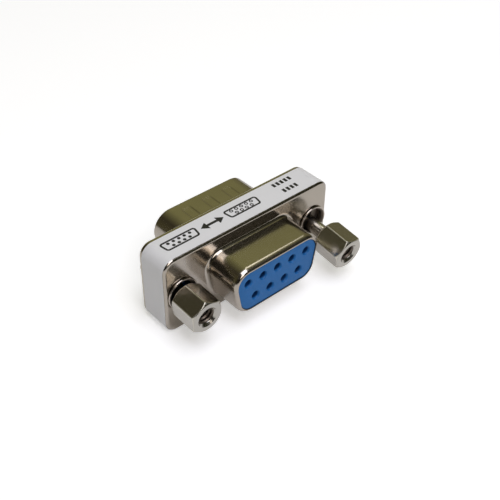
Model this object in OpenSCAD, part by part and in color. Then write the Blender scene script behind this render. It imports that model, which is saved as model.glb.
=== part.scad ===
// Slim gender changer for nine-way D-shaped connectors: a socket in front, a plug
// behind, and two loose jackscrews through the ends of the thin body between them.
// Millimetres. +Z is up, the socket faces -Y, and the origin is the middle of the
// underside that the body stands on.

/* [Body] */
// Distance from a screw hole to the body's end, up to its metal edge
end_margin = 2.905; // [2.805:0.005:4.005]
// Height of the body across its metal edges
body_h = 12.8; // [12.2:0.1:14]
// Depth of the body between the outer faces of its two plates
body_t = 5.75; // [5.2:0.05:6.4]
// Radius of the body's corners, seen from the front
corner_r = 1.9; // [1.2:0.1:3]
// Outer radius of the bend round the edge of each plate
bend_r = 0.5; // [0.46:0.02:0.7]
// Thickness of the sheet that both shells are drawn from
sheet = 0.4; // [0.3:0.02:0.44]
// Thickness of the label that is wrapped round the body
label_t = 0.06; // [0.05:0.01:0.2]
// Width of the bare metal edge in front of the label
label_front = 0.3; // [0.1:0.05:0.8]
// Width of the bare metal edge behind the label
label_back = 0.75; // [0.1:0.05:0.9]

/* [Connector faces] */
// Slope of the two short sides of a D outline, in degrees
d_slope = 10; // [8:0.5:12]
// Radius between a plate and the wall that is drawn out of it
draw_r = 0.6; // [0.3:0.05:0.7]
// Half width of the socket shroud, along its long side to the sharp corner
socket_hw = 8.45; // [8.3:0.01:8.7]
// Half height of the socket shroud
socket_hh = 3.95; // [3.8:0.01:4.1]
// Corner radius of the socket shroud
socket_r = 2.6; // [2.2:0.1:2.8]
// Length of the socket shroud in front of its plate
socket_l = 5.95; // [5.5:0.05:6.3]
// Outer radius of the socket shroud's rolled lip
lip_r = 0.56; // [0.46:0.02:0.7]
// Half width of the plug shell, along its long side to the sharp corner
plug_hw = 9.3; // [9.15:0.01:9.5]
// Half height of the plug shell
plug_hh = 4.58; // [4.45:0.01:4.75]
// Corner radius of the plug shell
plug_r = 3; // [2.6:0.1:3.2]
// Length of the plug shell behind its plate
plug_l = 5.75; // [5.5:0.05:6.5]

/* [Grounding dimples] */
// Number of dimples pressed into each long side of the plug shell
dimple_count = 3; // [1:1:3]
// Distance between the middles of the dimples
dimple_pitch = 3.8; // [3.2:0.1:4.2]
// Width of a dimple
dimple_w = 1.5; // [1.2:0.1:2.2]
// Length of a dimple
dimple_l = 2.4; // [1.8:0.1:2.8]
// Distance from the plate to the near end of a dimple
dimple_start = 1.85; // [1.4:0.05:2.2]
// Depth of a dimple
dimple_d = 0.2; // [0.1:0.02:0.26]

/* [Contacts] */
// Distance between neighbouring contacts in a row
pitch = 2.743; // [2.7:0.01:2.8]
// Distance between the two rows
row_gap = 2.84; // [2.7:0.02:3]
// Radius of a plug pin
pin_r = 0.5; // [0.45:0.01:0.55]
// Outer radius of a socket barrel
barrel_r = 0.7; // [0.66:0.01:0.76]
// Radius of the collar that holds a contact between the insulators
collar_r = 0.9; // [0.8:0.02:1]
// Length of that collar
collar_l = 1.6; // [1:0.1:2.4]
// How far a pin's tip stays inside the plug shell's rim
tip_recess = 0.7; // [0.4:0.05:1.5]
// Depth of the bore that takes the mating pin
barrel_depth = 5.2; // [4.5:0.1:6]
// How far a socket barrel stays behind the insulator's face
barrel_recess = 1.1; // [0.35:0.05:1.4]
// Width of the slit that makes a barrel springy
slit_w = 0.16; // [0.1:0.02:0.24]

/* [Insulators] */
// How far the socket insulator's face stays behind the shroud's lip
face_recess = 0.1; // [0.05:0.05:0.3]
// Height of the plug insulator's floor above its plate
floor_h = 0.6; // [0.3:0.05:1]
// Radius of a hole in the socket insulator's face
mouth_r = 0.64; // [0.56:0.01:0.68]
// Width of the bevel round such a hole
mouth_bevel = 0.12; // [0.1:0.01:0.2]
// Distance between the flange inside the body and the clips beside it
flange_gap = 0.445; // [0.345:0.005:0.7]
// Gap between an insulator and the metal round it
shell_gap = 0.05; // [0.03:0.01:0.1]
// Gap round a contact in its insulator
contact_gap = 0.04; // [0.03:0.01:0.08]

/* [Jackscrews] */
// Distance between the two screw holes
screw_span = 24.99; // [24.9:0.01:25.1]
// Width of the hexagonal head across its flats
hex_af = 4.83; // [4.7:0.01:4.9]
// Length of the head
hex_l = 4.9; // [4.6:0.1:5]
// Depth of the bevel on each end of the head
hex_bevel = 0.36; // [0.2:0.02:0.5]
// Radius of the tapped hole in the head, at the thread's crests
tap_r = 1.15; // [1.08:0.01:1.2]
// Metal left between the tapped hole's end and the back of the head
tap_floor = 0.5; // [0.4:0.1:0.9]
// Radius of the bevel at the tapped hole's mouth
tap_mouth_r = 1.65; // [1.3:0.01:1.8]
// Radius of the shank between head and thread
shank_r = 1.1; // [1.05:0.01:1.14]
// Radius of the thread over its crests
thread_r = 1.422; // [1.4:0.001:1.44]
// Length of the thread
thread_l = 3.4; // [2.8:0.1:3.6]
// Length of the screw behind its head
tail_l = 9; // [8.7:0.1:9.3]
// Length of the shank between the head and the clip's groove
neck_l = 4.1; // [4.06:0.01:4.3]
// Radius at the bottom of the groove
groove_r = 0.87; // [0.84:0.01:0.9]

/* [Retaining clips] */
// Outer radius of a clip
clip_r = 2.2; // [2.05:0.01:2.24]
// Thickness of a clip
clip_t = 0.4; // [0.3:0.02:0.5]
// Radial gap between a clip and the bottom of its groove
clip_gap = 0.03; // [0.02:0.005:0.05]
// Gap between each side of a clip and its groove
clip_side_gap = 0.03; // [0.02:0.005:0.05]
// Width of a clip's open side
clip_mouth_w = 1.3; // [1.2:0.05:1.5]

/* [Eyelets] */
// Radius of the front eyelets' mouths
front_mouth_r = 1.9; // [1.89:0.01:1.96]
// Radius of the rear eyelets' mouths
rear_mouth_r = 1.75; // [1.72:0.01:1.85]
// Wall of an eyelet's barrel
eyelet_wall = 0.15; // [0.1:0.01:0.18]
// Outer radius of an eyelet's rolled rim
rim_r = 2.5; // [2.25:0.01:2.54]
// How far a rim stands off its plate
rim_h = 0.34; // [0.2:0.01:0.36]
// Thickness of an eyelet's flattened tail inside the body
tail_t = 0.2; // [0.1:0.01:0.22]

/* [Rest position of the screws] */
// Droop of the left screw, in degrees
left_tilt = 2.7; // [0:0.1:3]
// Distance from the back of the left head to the rear plate, along the screw
left_stand = 6.44; // [6.22:0.01:9]
// How far the left screw's axis lies below the middle at the rear plate
left_drop = 0.18; // [0:0.01:0.22]
// How far the left screw is turned from corner up, in degrees
left_turn = 4.5; // [-30:0.5:30]
// Droop of the right screw, in degrees
right_tilt = 7.3; // [0:0.1:7.3]
// Distance from the back of the right head to the rear plate, along the screw
right_stand = 8.97; // [7.1:0.01:8.99]
// How far the right screw's axis lies below the middle at the rear plate
right_drop = -0.05; // [-0.05:0.01:0.02]
// How far the right screw is turned from corner up, in degrees
right_turn = 14.5; // [-30:0.5:30]

/* [Hidden] */
// Faces along a quarter of a drawn corner, and along a bend in the sheet
CORNER_STEPS = 8;
BEND_STEPS = 4;
// Sides of the round pieces
ROUND = 48;
// A little more than nothing, so that a cut runs clear of its face
CLEAR = 0.01;
z_mid = body_h / 2 + label_t;
plate_y = body_t / 2;
screw_x = screw_span / 2;
body_w = screw_span + 2 * end_margin;
flange_hw = screw_x - clip_r - flange_gap;
body_shape = [body_w / 2, body_h / 2, corner_r];
socket_shape = [socket_hw, socket_hh, socket_r];
plug_shape = [plug_hw, plug_hh, plug_r];
tap_depth = hex_l - tap_floor;
groove_s = hex_l + neck_l;
screw_l = hex_l + tail_l;
left_reach = hex_l + left_stand;
right_reach = hex_l + right_stand;
face_y = -plate_y - socket_l + face_recess;
tip_y = plate_y + plug_l - tip_recess;
chamber_r = barrel_r + contact_gap;
NICKEL = [0.70, 0.67, 0.62];
BLUE = [0.18, 0.38, 0.60];
GILT = [0.83, 0.68, 0.36];
PAPER = [0.82, 0.82, 0.83];

// Points along an arc in the X-Z plane
function arc(cx, cz, r, a0, a1) =
    [for (i = [0:CORNER_STEPS])
        let (a = a0 + (a1 - a0) * i / CORNER_STEPS) [cx + r * cos(a), cz + r * sin(a)]];

// Middle of a corner arc of a D outline, at height z, for a side that slopes inwards
function d_centre_x(shape, z) =
    shape[0] - (shape[1] - z) * tan(d_slope) - shape[2] / cos(d_slope);

// D outline, wide side up, moved inwards by w
function d_outline(shape, w = 0) =
    let (r = shape[2], top = shape[1] - r, x1 = d_centre_x(shape, top), x2 = d_centre_x(shape, -top))
    concat(arc(x1, top, r - w, -d_slope, 90),
           arc(-x1, top, r - w, 90, 180 + d_slope),
           arc(-x2, -top, r - w, 180 + d_slope, 270),
           arc(x2, -top, r - w, 270, 360 - d_slope));

// Rounded oblong outline of the body, moved inwards by w
function box_outline(shape, w = 0) =
    let (r = shape[2], x = shape[0] - r, z = shape[1] - r)
    concat(arc(x, z, r - w, 0, 90),
           arc(-x, z, r - w, 90, 180),
           arc(-x, -z, r - w, 180, 270),
           arc(x, -z, r - w, 270, 360));

// Stations [w, o] round a bend in the sheet: w is the distance inwards from the outline,
// o the distance outwards from the plate's outer face
function bend(w, o, r, a0, a1) =
    [for (i = [0:BEND_STEPS])
        let (a = a0 + (a1 - a0) * i / BEND_STEPS) [w + r * cos(a), o + r * sin(a)]];

// The points of an outline, o outwards from the outer face of a plate
function ring(side, outline, o) =
    [for (p = outline) [-side * p[0], side * (plate_y + o), z_mid + p[1]]];

// One closed skin through rings of points that all run the same way round
module skin(rings) {
    count = len(rings);
    size = len(rings[0]);
    polyhedron(
        points = [for (ring = rings) each ring],
        faces = [for (j = [0:count - 1], i = [0:size - 1])
            let (k = (j + 1) % count, n = (i + 1) % size,
                 a = j * size + i, b = j * size + n, c = k * size + n, d = k * size + i)
            each [[a, c, b], [a, d, c]]],
        convexity = 6);
}

// A plate with its skirt and its drawn D wall, from one sheet. It faces -Y where side is
// -1, and +Y where it is 1. rim holds the stations [w, o] round the D wall's free edge.
module drawn_shell(side, shape, rim) {
    skirt = concat([[0, -plate_y]],
                   bend(bend_r, -bend_r, bend_r, 180, 90));
    skirt_inside = concat(bend(bend_r, -bend_r, bend_r - sheet, 90, 180),
                          [[sheet, -plate_y]]);
    root = bend(-draw_r, draw_r, draw_r, 270, 360);
    root_inside = bend(-draw_r, draw_r, draw_r + sheet, 360, 270);
    rings = concat(
        [for (s = skirt) ring(side, box_outline(body_shape, s[0]), s[1])],
        [for (s = concat(root, rim, root_inside)) ring(side, d_outline(shape, s[0]), s[1])],
        [for (s = skirt_inside) ring(side, box_outline(body_shape, s[0]), s[1])]);
    skin(rings);
}

// A round bar along Y, from y0 to y1
module bar(r, y0, y1) {
    translate([0, y1, 0]) rotate([90, 0, 0]) cylinder(r = r, h = y1 - y0, $fn = ROUND);
}

// A slab along Y, from y0 to y1, with the outline that its child draws
module slab(y0, y1) {
    translate([0, y1, z_mid]) rotate([90, 0, 0]) linear_extrude(y1 - y0) children();
}

// Puts its children at both screw holes
module at_screws() {
    for (side = [-1, 1]) translate([side * screw_x, 0, z_mid]) children();
}

module front_shell() {
    rolled = lip_r - sheet;
    lip = concat(bend(lip_r, socket_l - lip_r, lip_r, 180, 90),
                 bend(lip_r, socket_l - lip_r, rolled, 90, 180));
    hole_r = front_mouth_r + eyelet_wall;
    color(NICKEL) difference() {
        drawn_shell(-1, socket_shape, lip);
        at_screws() bar(hole_r, -plate_y - 1, -plate_y + 1);
    }
}

// Dimples in the plug shell's two long sides: outer recess, or inner bump
module dimples(depth_from, depth_to) {
    y0 = plate_y + dimple_start;
    for (side = [-1, 1], i = [0:dimple_count - 1])
        translate([(i - (dimple_count - 1) / 2) * dimple_pitch - dimple_w / 2, y0,
                   z_mid + (side > 0 ? plug_hh - depth_to : -plug_hh + depth_from)])
            cube([dimple_w, dimple_l, depth_to - depth_from]);
}

module rear_shell() {
    edge = sheet / 4;
    rim = [[0, plug_l - edge], [edge, plug_l], [sheet - edge, plug_l], [sheet, plug_l - edge]];
    hole_r = rear_mouth_r + eyelet_wall;
    color(NICKEL) difference() {
        union() {
            drawn_shell(1, plug_shape, rim);
            dimples(sheet - CLEAR, sheet + dimple_d);
        }
        dimples(-1, dimple_d);
        at_screws() bar(hole_r, plate_y - 1, plate_y + 1);
    }
}

// Middle of contact i, counted from the right: five above, then four below
function contact_x(i) = i < 5 ? (2 - i) * pitch : (6.5 - i) * pitch;
function contact_z(i) = z_mid + (i < 5 ? row_gap / 2 : -row_gap / 2);

// Puts its children on the axis of each contact
module at_contacts() {
    for (i = [0:8]) translate([contact_x(i), 0, contact_z(i)]) children();
}

// The flange that both insulators have inside the body
module flange(y0, y1) {
    flange_hh = body_h / 2 - sheet - shell_gap;
    slab(y0, y1) square([2 * flange_hw, 2 * flange_hh], center = true);
}

module front_insulator() {
    seat_y = -plate_y + sheet + shell_gap;
    lip_y = -plate_y - socket_l + lip_r;
    color(BLUE) difference() {
        union() {
            flange(-plate_y + sheet + draw_r, 0);
            slab(-plate_y + sheet, 0) polygon(d_outline(socket_shape, sheet + shell_gap));
            slab(lip_y, seat_y) polygon(d_outline(socket_shape, sheet + shell_gap));
            slab(face_y, lip_y + CLEAR) polygon(d_outline(socket_shape, lip_r + shell_gap));
        }
        at_contacts() {
            bar(mouth_r, face_y - 1, face_y + 1);
            translate([0, face_y - CLEAR, 0]) rotate([-90, 0, 0])
                cylinder(r1 = mouth_r + mouth_bevel, r2 = mouth_r, h = mouth_bevel, $fn = ROUND);
            bar(chamber_r, face_y + barrel_recess - contact_gap, -collar_l / 2);
            bar(collar_r + contact_gap, -collar_l / 2 - contact_gap, 1);
        }
    }
}

module rear_insulator() {
    color(BLUE) difference() {
        union() {
            flange(0, plate_y - sheet - draw_r);
            slab(0, plate_y + floor_h) polygon(d_outline(plug_shape, sheet + shell_gap));
        }
        at_contacts() {
            bar(pin_r + contact_gap, 0, plate_y + floor_h + 1);
            bar(collar_r + contact_gap, -1, collar_l / 2 + contact_gap);
        }
    }
}

// One contact, turned from one bar: a split socket barrel in front, a collar, and a
// plug pin with a round tip behind
module contact(i) {
    front_y = face_y + barrel_recess;
    color(GILT) translate([contact_x(i), 0, contact_z(i)]) difference() {
        union() {
            bar(barrel_r, front_y, -collar_l / 2 + CLEAR);
            bar(collar_r, -collar_l / 2, collar_l / 2);
            bar(pin_r, collar_l / 2 - CLEAR, tip_y - pin_r);
            translate([0, tip_y - pin_r, 0]) sphere(r = pin_r, $fn = ROUND);
        }
        bar(pin_r + contact_gap, front_y - 1, front_y + barrel_depth);
        translate([-slit_w / 2, front_y - 1, -barrel_r - 1])
            cube([slit_w, 1 + barrel_depth * 0.7, 2 * barrel_r + 2]);
    }
}

module label() {
    color(PAPER) slab(-plate_y + label_front, plate_y - label_back) difference() {
        polygon(box_outline(body_shape, -label_t));
        polygon(box_outline(body_shape));
    }
}

// One eyelet on the axis of the Y origin: side is -1 in front and 1 behind
module eyelet(side, mouth) {
    barrel = mouth + eyelet_wall;
    tail_r = rim_r - eyelet_wall;
    crest_r = (rim_r + mouth) / 2;
    profile = concat(
        [[mouth, -sheet - tail_t], [tail_r, -sheet - tail_t], [tail_r, -sheet],
         [barrel, -sheet], [barrel, 0]],
        [for (a = [0:15:180]) [crest_r + (rim_r - crest_r) * cos(a), rim_h * sin(a)]]);
    color(NICKEL) translate([0, side * plate_y, z_mid]) rotate([side > 0 ? -90 : 90, 0, 0])
        rotate_extrude($fn = ROUND) polygon(profile);
}

module front_left_eyelet() { translate([-screw_x, 0, 0]) eyelet(-1, front_mouth_r); }
module front_right_eyelet() { translate([screw_x, 0, 0]) eyelet(-1, front_mouth_r); }
module rear_left_eyelet() { translate([-screw_x, 0, 0]) eyelet(1, rear_mouth_r); }
module rear_right_eyelet() { translate([screw_x, 0, 0]) eyelet(1, rear_mouth_r); }

// Puts its children on a screw's own axis: the head's face is at y = 0 there, and the
// screw runs along +Y through the hole in the rear plate
module on_screw(side, tilt, reach, drop, turn) {
    translate([side * screw_x, plate_y, z_mid - drop]) rotate([tilt, 0, 0])
        translate([0, -reach, 0]) rotate([0, -turn, 0]) children();
}
module on_left(turn = 0) { on_screw(-1, left_tilt, left_reach, left_drop, turn) children(); }
module on_right(turn = 0) { on_screw(1, right_tilt, right_reach, right_drop, turn) children(); }

// The hexagonal head, a corner up, with both ends bevelled
module hex_head() {
    corner = hex_af / 2 / cos(30);
    flat_r = hex_af / 2 * 0.97;
    intersection() {
        translate([0, hex_l, 0]) rotate([90, 30, 0]) cylinder(r = corner, h = hex_l, $fn = 6);
        rotate([-90, 0, 0]) rotate_extrude($fn = ROUND)
            polygon([[0, 0], [flat_r, 0], [corner, hex_bevel], [corner, hex_l - hex_bevel],
                     [flat_r, hex_l], [0, hex_l]]);
    }
}

// One jackscrew: tapped head, shank with the clip's groove, thread
module jackscrew() {
    groove_w = clip_t + 2 * clip_side_gap;
    thread_s = screw_l - thread_l;
    bevel = thread_r - shank_r;
    color(NICKEL) difference() {
        union() {
            hex_head();
            bar(shank_r, hex_l - CLEAR, groove_s);
            bar(groove_r, groove_s - CLEAR, groove_s + groove_w + CLEAR);
            bar(shank_r, groove_s + groove_w, thread_s + CLEAR);
            rotate([-90, 0, 0]) rotate_extrude($fn = ROUND)
                polygon([[0, thread_s], [shank_r, thread_s], [thread_r, thread_s + bevel],
                         [thread_r, screw_l - bevel], [shank_r, screw_l], [0, screw_l]]);
        }
        bar(tap_r, -1, tap_depth);
        translate([0, -CLEAR, 0]) rotate([-90, 0, 0])
            cylinder(r1 = tap_mouth_r, r2 = tap_r, h = tap_mouth_r - tap_r, $fn = ROUND);
    }
}

// One open retaining clip, in its groove, with its mouth up
module clip() {
    bore = groove_r + clip_gap;
    s0 = groove_s + clip_side_gap;
    color(NICKEL) translate([0, s0 + clip_t, 0]) rotate([90, 0, 0]) linear_extrude(clip_t) difference() {
        circle(r = clip_r, $fn = ROUND);
        circle(r = bore, $fn = ROUND);
        translate([-clip_mouth_w / 2, 0]) square([clip_mouth_w, clip_r + 1]);
        for (side = [-1, 1]) translate([side * bore, -bore * 0.6]) circle(r = bore / 3, $fn = ROUND);
    }
}

module left_jackscrew() { on_left(left_turn) jackscrew(); }
module right_jackscrew() { on_right(right_turn) jackscrew(); }
module left_clip() { on_left() clip(); }
module right_clip() { on_right() clip(); }

front_shell();
rear_shell();
front_insulator();
rear_insulator();
for (i = [0:8]) contact(i);
label();
front_left_eyelet();
front_right_eyelet();
rear_left_eyelet();
rear_right_eyelet();
left_clip();
right_clip();
left_jackscrew();
right_jackscrew();
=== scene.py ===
# %% [markdown]
# # A slim gender changer with a socket in front and a plug behind
#
# The object is a thin steel body, 31 mm wide, with a D-shaped socket on one face and a
# D-shaped plug on the other. Two loose jackscrews go through its ends. Everything that
# shows is bright nickel plate, a blue moulding, or a white label, so the work is in clean
# drawn sheet, crisp turned screws and quiet reflections.
#
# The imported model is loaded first. It fixes where every piece is, and the meshes made
# here are finer versions of its solids at the same places and sizes.

# %% Load the frame
import math

import bmesh
import bpy
import numpy as np
from mathutils import Matrix, Vector


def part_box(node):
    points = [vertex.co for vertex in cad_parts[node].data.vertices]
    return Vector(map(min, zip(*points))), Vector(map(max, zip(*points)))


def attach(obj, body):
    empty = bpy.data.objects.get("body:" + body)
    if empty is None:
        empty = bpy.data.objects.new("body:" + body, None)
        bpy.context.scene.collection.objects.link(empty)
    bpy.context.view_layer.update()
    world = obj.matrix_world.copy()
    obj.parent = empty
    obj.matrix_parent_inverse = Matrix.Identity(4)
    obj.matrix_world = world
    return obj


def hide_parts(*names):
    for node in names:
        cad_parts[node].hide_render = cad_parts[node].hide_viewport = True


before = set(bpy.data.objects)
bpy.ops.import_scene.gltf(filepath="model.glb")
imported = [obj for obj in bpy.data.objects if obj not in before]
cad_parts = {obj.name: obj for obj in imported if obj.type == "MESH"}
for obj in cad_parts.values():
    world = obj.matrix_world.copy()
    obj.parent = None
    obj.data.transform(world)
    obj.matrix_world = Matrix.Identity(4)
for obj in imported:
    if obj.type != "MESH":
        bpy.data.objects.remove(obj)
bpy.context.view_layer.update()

MM = 0.001

# %% [markdown]
# ## Sizes
#
# All lengths below are in millimetres and repeat the object's driving sizes. What the
# frame can tell is taken from it: the label's box gives the body's width and height, and
# the shells' boxes give the lengths of the shroud and the plug shell.

# %% Sizes of the body, the shroud and the plug shell
SHEET = 0.4
LABEL_T = 0.06
LABEL_FRONT = 0.3
LABEL_BACK = 0.75
CORNER_R = 1.9
BEND_R = 0.5
DRAW_R = 0.6
D_SLOPE = math.radians(10)
SCREW_SPAN = 24.99
PITCH = 2.743
ROW_GAP = 2.84

label_lo, label_hi = (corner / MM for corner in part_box("label"))
front_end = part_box("front_shell")[0].y / MM
rear_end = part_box("rear_shell")[1].y / MM
BODY_W = label_hi.x - label_lo.x - 2 * LABEL_T
BODY_H = label_hi.z - label_lo.z - 2 * LABEL_T
BODY_T = label_hi.y - label_lo.y + LABEL_FRONT + LABEL_BACK
Z_MID = (label_lo.z + label_hi.z) / 2
PLATE_Y = BODY_T / 2
SOCKET_L = -front_end - PLATE_Y
PLUG_L = rear_end - PLATE_Y
SCREW_X = SCREW_SPAN / 2
# A D outline is its half width, its half height and the radius of its corners
SOCKET = (8.45, 3.95, 2.6)
PLUG = (9.3, 4.58, 3.0)
print(f"body {BODY_W:.2f} x {BODY_H:.2f} x {BODY_T:.2f}, shroud {SOCKET_L:.2f}, plug shell {PLUG_L:.2f}")

# %% [markdown]
# ## Materials
#
# A metal's colour comes mostly from what it mirrors, so the nickel only gets a warm light
# grey, a roughness that varies a little, and two bumps: a long soft wave from drawing the
# sheet, and the fine grain that plating keeps from it. Patterns read Object coordinates
# turned to millimetres, so a scale of 2 means two features a millimetre.
#
# A turned piece isn't equally bright all over: its edges are burnished, and the inside of a
# tapped hole or an eyelet is dull. The points there carry a mark, "edge" or "bore", and the
# material mixes in another tint and roughness by it: the edges' lighter tint is partly a
# painted highlight, and the bores' darker tint a painted shade. The moulding round the
# sockets has a painted shade in the depth of its holes, a darker colour that stands in for
# the little light that comes back out of them.

# %% Material helpers
def linear(hex_colour):
    """An sRGB hex colour as linear red, green, blue and alpha."""
    out = []
    for k in (1, 3, 5):
        c = int(hex_colour[k:k + 2], 16) / 255
        out.append(c / 12.92 if c <= 0.04045 else ((c + 0.055) / 1.055) ** 2.4)
    return (*out, 1.0)


def add(tree, kind, inputs=None, **settings):
    """Adds a node. A value in inputs that is a socket is linked, any other is set."""
    node = tree.nodes.new(kind)
    for name, value in settings.items():
        setattr(node, name, value)
    for name, value in (inputs or {}).items():
        if isinstance(value, bpy.types.NodeSocket):
            tree.links.new(value, node.inputs[name])
        else:
            node.inputs[name].default_value = value
    return node


def new_material(name):
    """An empty material, its node tree, and Object coordinates in millimetres."""
    material = bpy.data.materials.new(name)
    material.use_nodes = True
    tree = material.node_tree
    tree.nodes.clear()
    where = add(tree, "ShaderNodeTexCoord")
    scaled = add(tree, "ShaderNodeVectorMath", {0: where.outputs["Object"], "Scale": 1 / MM},
                 operation="SCALE")
    return material, tree, scaled.outputs["Vector"]


# Each mark with its tint and its roughness; the edge's tint is partly a painted highlight, the bore's a
# painted shade
MARK_TINTS_WITH_PAINTED_LIGHT = (("edge", "#CFCBBE", 0.36), ("bore", "#7C7268", 0.45))


def plated_metal(name, light, dark, rough, wave_um, grain_um, grain_scale, marked=False):
    """Nickel or gold plate over metal. light and dark are its patches of colour, 3 mm
    across. A marked piece has points where "edge" or "bore" is 1: a lighter tint on the
    edges, partly a painted highlight, and a darker one in the bores, a painted shade."""
    material, tree, mm = new_material(name)
    patches = add(tree, "ShaderNodeTexNoise", {"Vector": mm, "Scale": 0.35, "Detail": 3.0})
    colour = add(tree, "ShaderNodeMix", {0: patches.outputs["Fac"], 6: linear(dark), 7: linear(light)},
                 data_type="RGBA")
    speckle = add(tree, "ShaderNodeTexNoise", {"Vector": mm, "Scale": 5.0, "Detail": 2.0})
    gloss = add(tree, "ShaderNodeMapRange",
                {"Value": speckle.outputs["Fac"], "From Min": 0.3, "From Max": 0.7,
                 "To Min": rough * 0.85, "To Max": rough * 1.2})
    base, roughness = colour.outputs[2], gloss.outputs["Result"]
    if marked:
        for mark, tint, dull in MARK_TINTS_WITH_PAINTED_LIGHT:
            where = add(tree, "ShaderNodeAttribute", attribute_name=mark)
            base = add(tree, "ShaderNodeMix", {0: where.outputs["Fac"], 6: base, 7: linear(tint)},
                       data_type="RGBA").outputs[2]
            mixed = add(tree, "ShaderNodeMix", {0: where.outputs["Fac"], 2: roughness, 3: dull})
            roughness = mixed.outputs[0]
    wave = add(tree, "ShaderNodeTexNoise", {"Vector": mm, "Scale": 0.3, "Detail": 1.0})
    long_bump = add(tree, "ShaderNodeBump", {"Height": wave.outputs["Fac"], "Strength": 1.0,
                                             "Distance": wave_um * 1e-6})
    grain = add(tree, "ShaderNodeTexNoise", {"Vector": mm, "Scale": grain_scale, "Detail": 4.0})
    fine_bump = add(tree, "ShaderNodeBump", {"Height": grain.outputs["Fac"], "Strength": 1.0,
                                             "Distance": grain_um * 1e-6,
                                             "Normal": long_bump.outputs["Normal"]})
    shader = add(tree, "ShaderNodeBsdfPrincipled",
                 {"Base Color": base, "Metallic": 1.0, "Roughness": roughness,
                  "Normal": fine_bump.outputs["Normal"]})
    add(tree, "ShaderNodeOutputMaterial", {"Surface": shader.outputs["BSDF"]})
    return material


# Millimetres behind the face, between which a hole's painted shade grows dark
HOLE_SHADE_START = 0.12
HOLE_SHADE_END = 0.5


def moulded_or_film(name, light, dark, rough, grain_um, grain_scale, shine=0.5, deep=None):
    """A plain non-metal: a moulding's or a film's colour, gloss and faint texture. deep is
    the y of the front face, in millimetres, and the colour of the painted shade inside its holes."""
    material, tree, mm = new_material(name)
    patches = add(tree, "ShaderNodeTexNoise", {"Vector": mm, "Scale": 0.5, "Detail": 4.0})
    colour = add(tree, "ShaderNodeMix", {0: patches.outputs["Fac"], 6: linear(dark), 7: linear(light)},
                 data_type="RGBA")
    base = colour.outputs[2]
    # A painted shade: the colour darkens with depth behind the face, inside the holes
    if deep:
        where = add(tree, "ShaderNodeSeparateXYZ", {"Vector": mm})
        face, shade = deep
        depth = add(tree, "ShaderNodeMapRange", {"Value": where.outputs["Y"],
                                                 "From Min": face + HOLE_SHADE_START,
                                                 "From Max": face + HOLE_SHADE_END})
        base = add(tree, "ShaderNodeMix", {0: depth.outputs["Result"], 6: base, 7: linear(shade)},
                   data_type="RGBA").outputs[2]
    grain = add(tree, "ShaderNodeTexNoise", {"Vector": mm, "Scale": grain_scale, "Detail": 3.0})
    gloss = add(tree, "ShaderNodeMapRange",
                {"Value": grain.outputs["Fac"], "From Min": 0.3, "From Max": 0.7,
                 "To Min": rough * 0.9, "To Max": rough * 1.1})
    bump = add(tree, "ShaderNodeBump", {"Height": grain.outputs["Fac"], "Strength": 1.0,
                                        "Distance": grain_um * 1e-6})
    shader = add(tree, "ShaderNodeBsdfPrincipled",
                 {"Base Color": base, "Roughness": gloss.outputs["Result"],
                  "Specular IOR Level": shine, "Normal": bump.outputs["Normal"]})
    add(tree, "ShaderNodeOutputMaterial", {"Surface": shader.outputs["BSDF"]})
    return material


# %% The finishes
# The numbers are: roughness, wave and grain in thousandths of a millimetre, grains a millimetre
# Drawn steel sheet, nickel plated: soft waves and a slight grain blur what it mirrors
DRAWN_NICKEL = plated_metal("drawn_sheet_nickel_plate", "#BBB3A8", "#AFA79C", 0.18, 9.0, 0.2, 9.0)
# Turned steel bar, nickel plated: flatter than the sheet, satin from the tool, burnished edges with a painted
# highlight, and a painted shade in the tapped hole
TURNED_NICKEL = plated_metal("turned_bar_nickel_plate", "#C0BCB4", "#B6B2A9", 0.21, 3.0, 0.25, 12.0,
                             marked=True)
# Rolled brass eyelet, nickel plated: a bright ring, and a dull mouth with a painted shade
ROLLED_NICKEL = plated_metal("rolled_eyelet_nickel_plate", "#C2B9AF", "#B3AAA0", 0.18, 8.0, 0.25, 12.0,
                             marked=True)
# Thin gold flash on the contacts: the one warm colour, behind and deep in the holes
GOLD_FLASH = plated_metal("turned_contact_gold_flash", "#D9B25E", "#B98F42", 0.22, 3.0, 0.3, 16.0)
# Spring steel of the clips, dull plate: all that shows is a grey depth in the eyelets
SPRING_STEEL = plated_metal("stamped_spring_steel", "#B0A498", "#9A8F84", 0.55, 6.0, 1.5, 12.0)
# Glass-filled thermoplastic, moulded: satin, with a faint mould texture
BLUE_MOULDING = moulded_or_film("moulded_blue_thermoplastic", "#2A75BC", "#246BAD", 0.4, 1.0, 7.0,
                                shine=0.15)
# The same plastic round the sockets, with a painted shade in its narrow holes where little light comes back
BLUE_FACE_PAINTED_SHADE = moulded_or_film("moulded_blue_socket_face_painted_hole_shade", "#2A75BC", "#246BAD", 0.4, 1.0, 7.0,
                            shine=0.2, deep=(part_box("front_insulator")[0].y / MM, "#143F73"))
# White polyester film, printed and laminated: an even, half-matt white
WHITE_FILM = moulded_or_film("printed_white_film", "#F1F1F3", "#ECECEE", 0.45, 0.6, 4.0)
# Screen-printed black ink: a dull black with a slightly grained surface
BLACK_INK = moulded_or_film("screen_printed_black_ink", "#201F1F", "#161616", 0.5, 2.0, 10.0)
print("materials:", len(bpy.data.materials))

# %% [markdown]
# ## From outlines to sheet
#
# Each shell is pressed from one sheet: a skirt, a bend, a flat plate, a fillet and the
# D-shaped wall. A loft follows that: the section of the sheet is a closed list of
# stations, each station is an outline moved in or out, and quads join the outlines. The
# body's and the D's outlines have the same number of points in the same order, so the
# flat plate between them closes too.

# %% Outlines and sections
ARC_STEPS = 20
EDGE_STEPS = (120, 24, 120, 24)


def corner_arc(cx, cz, r, a0, a1):
    a = np.radians(np.linspace(a0, a1, ARC_STEPS + 1))
    return np.stack([cx + r * np.cos(a), cz + r * np.sin(a)], 1)


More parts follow.
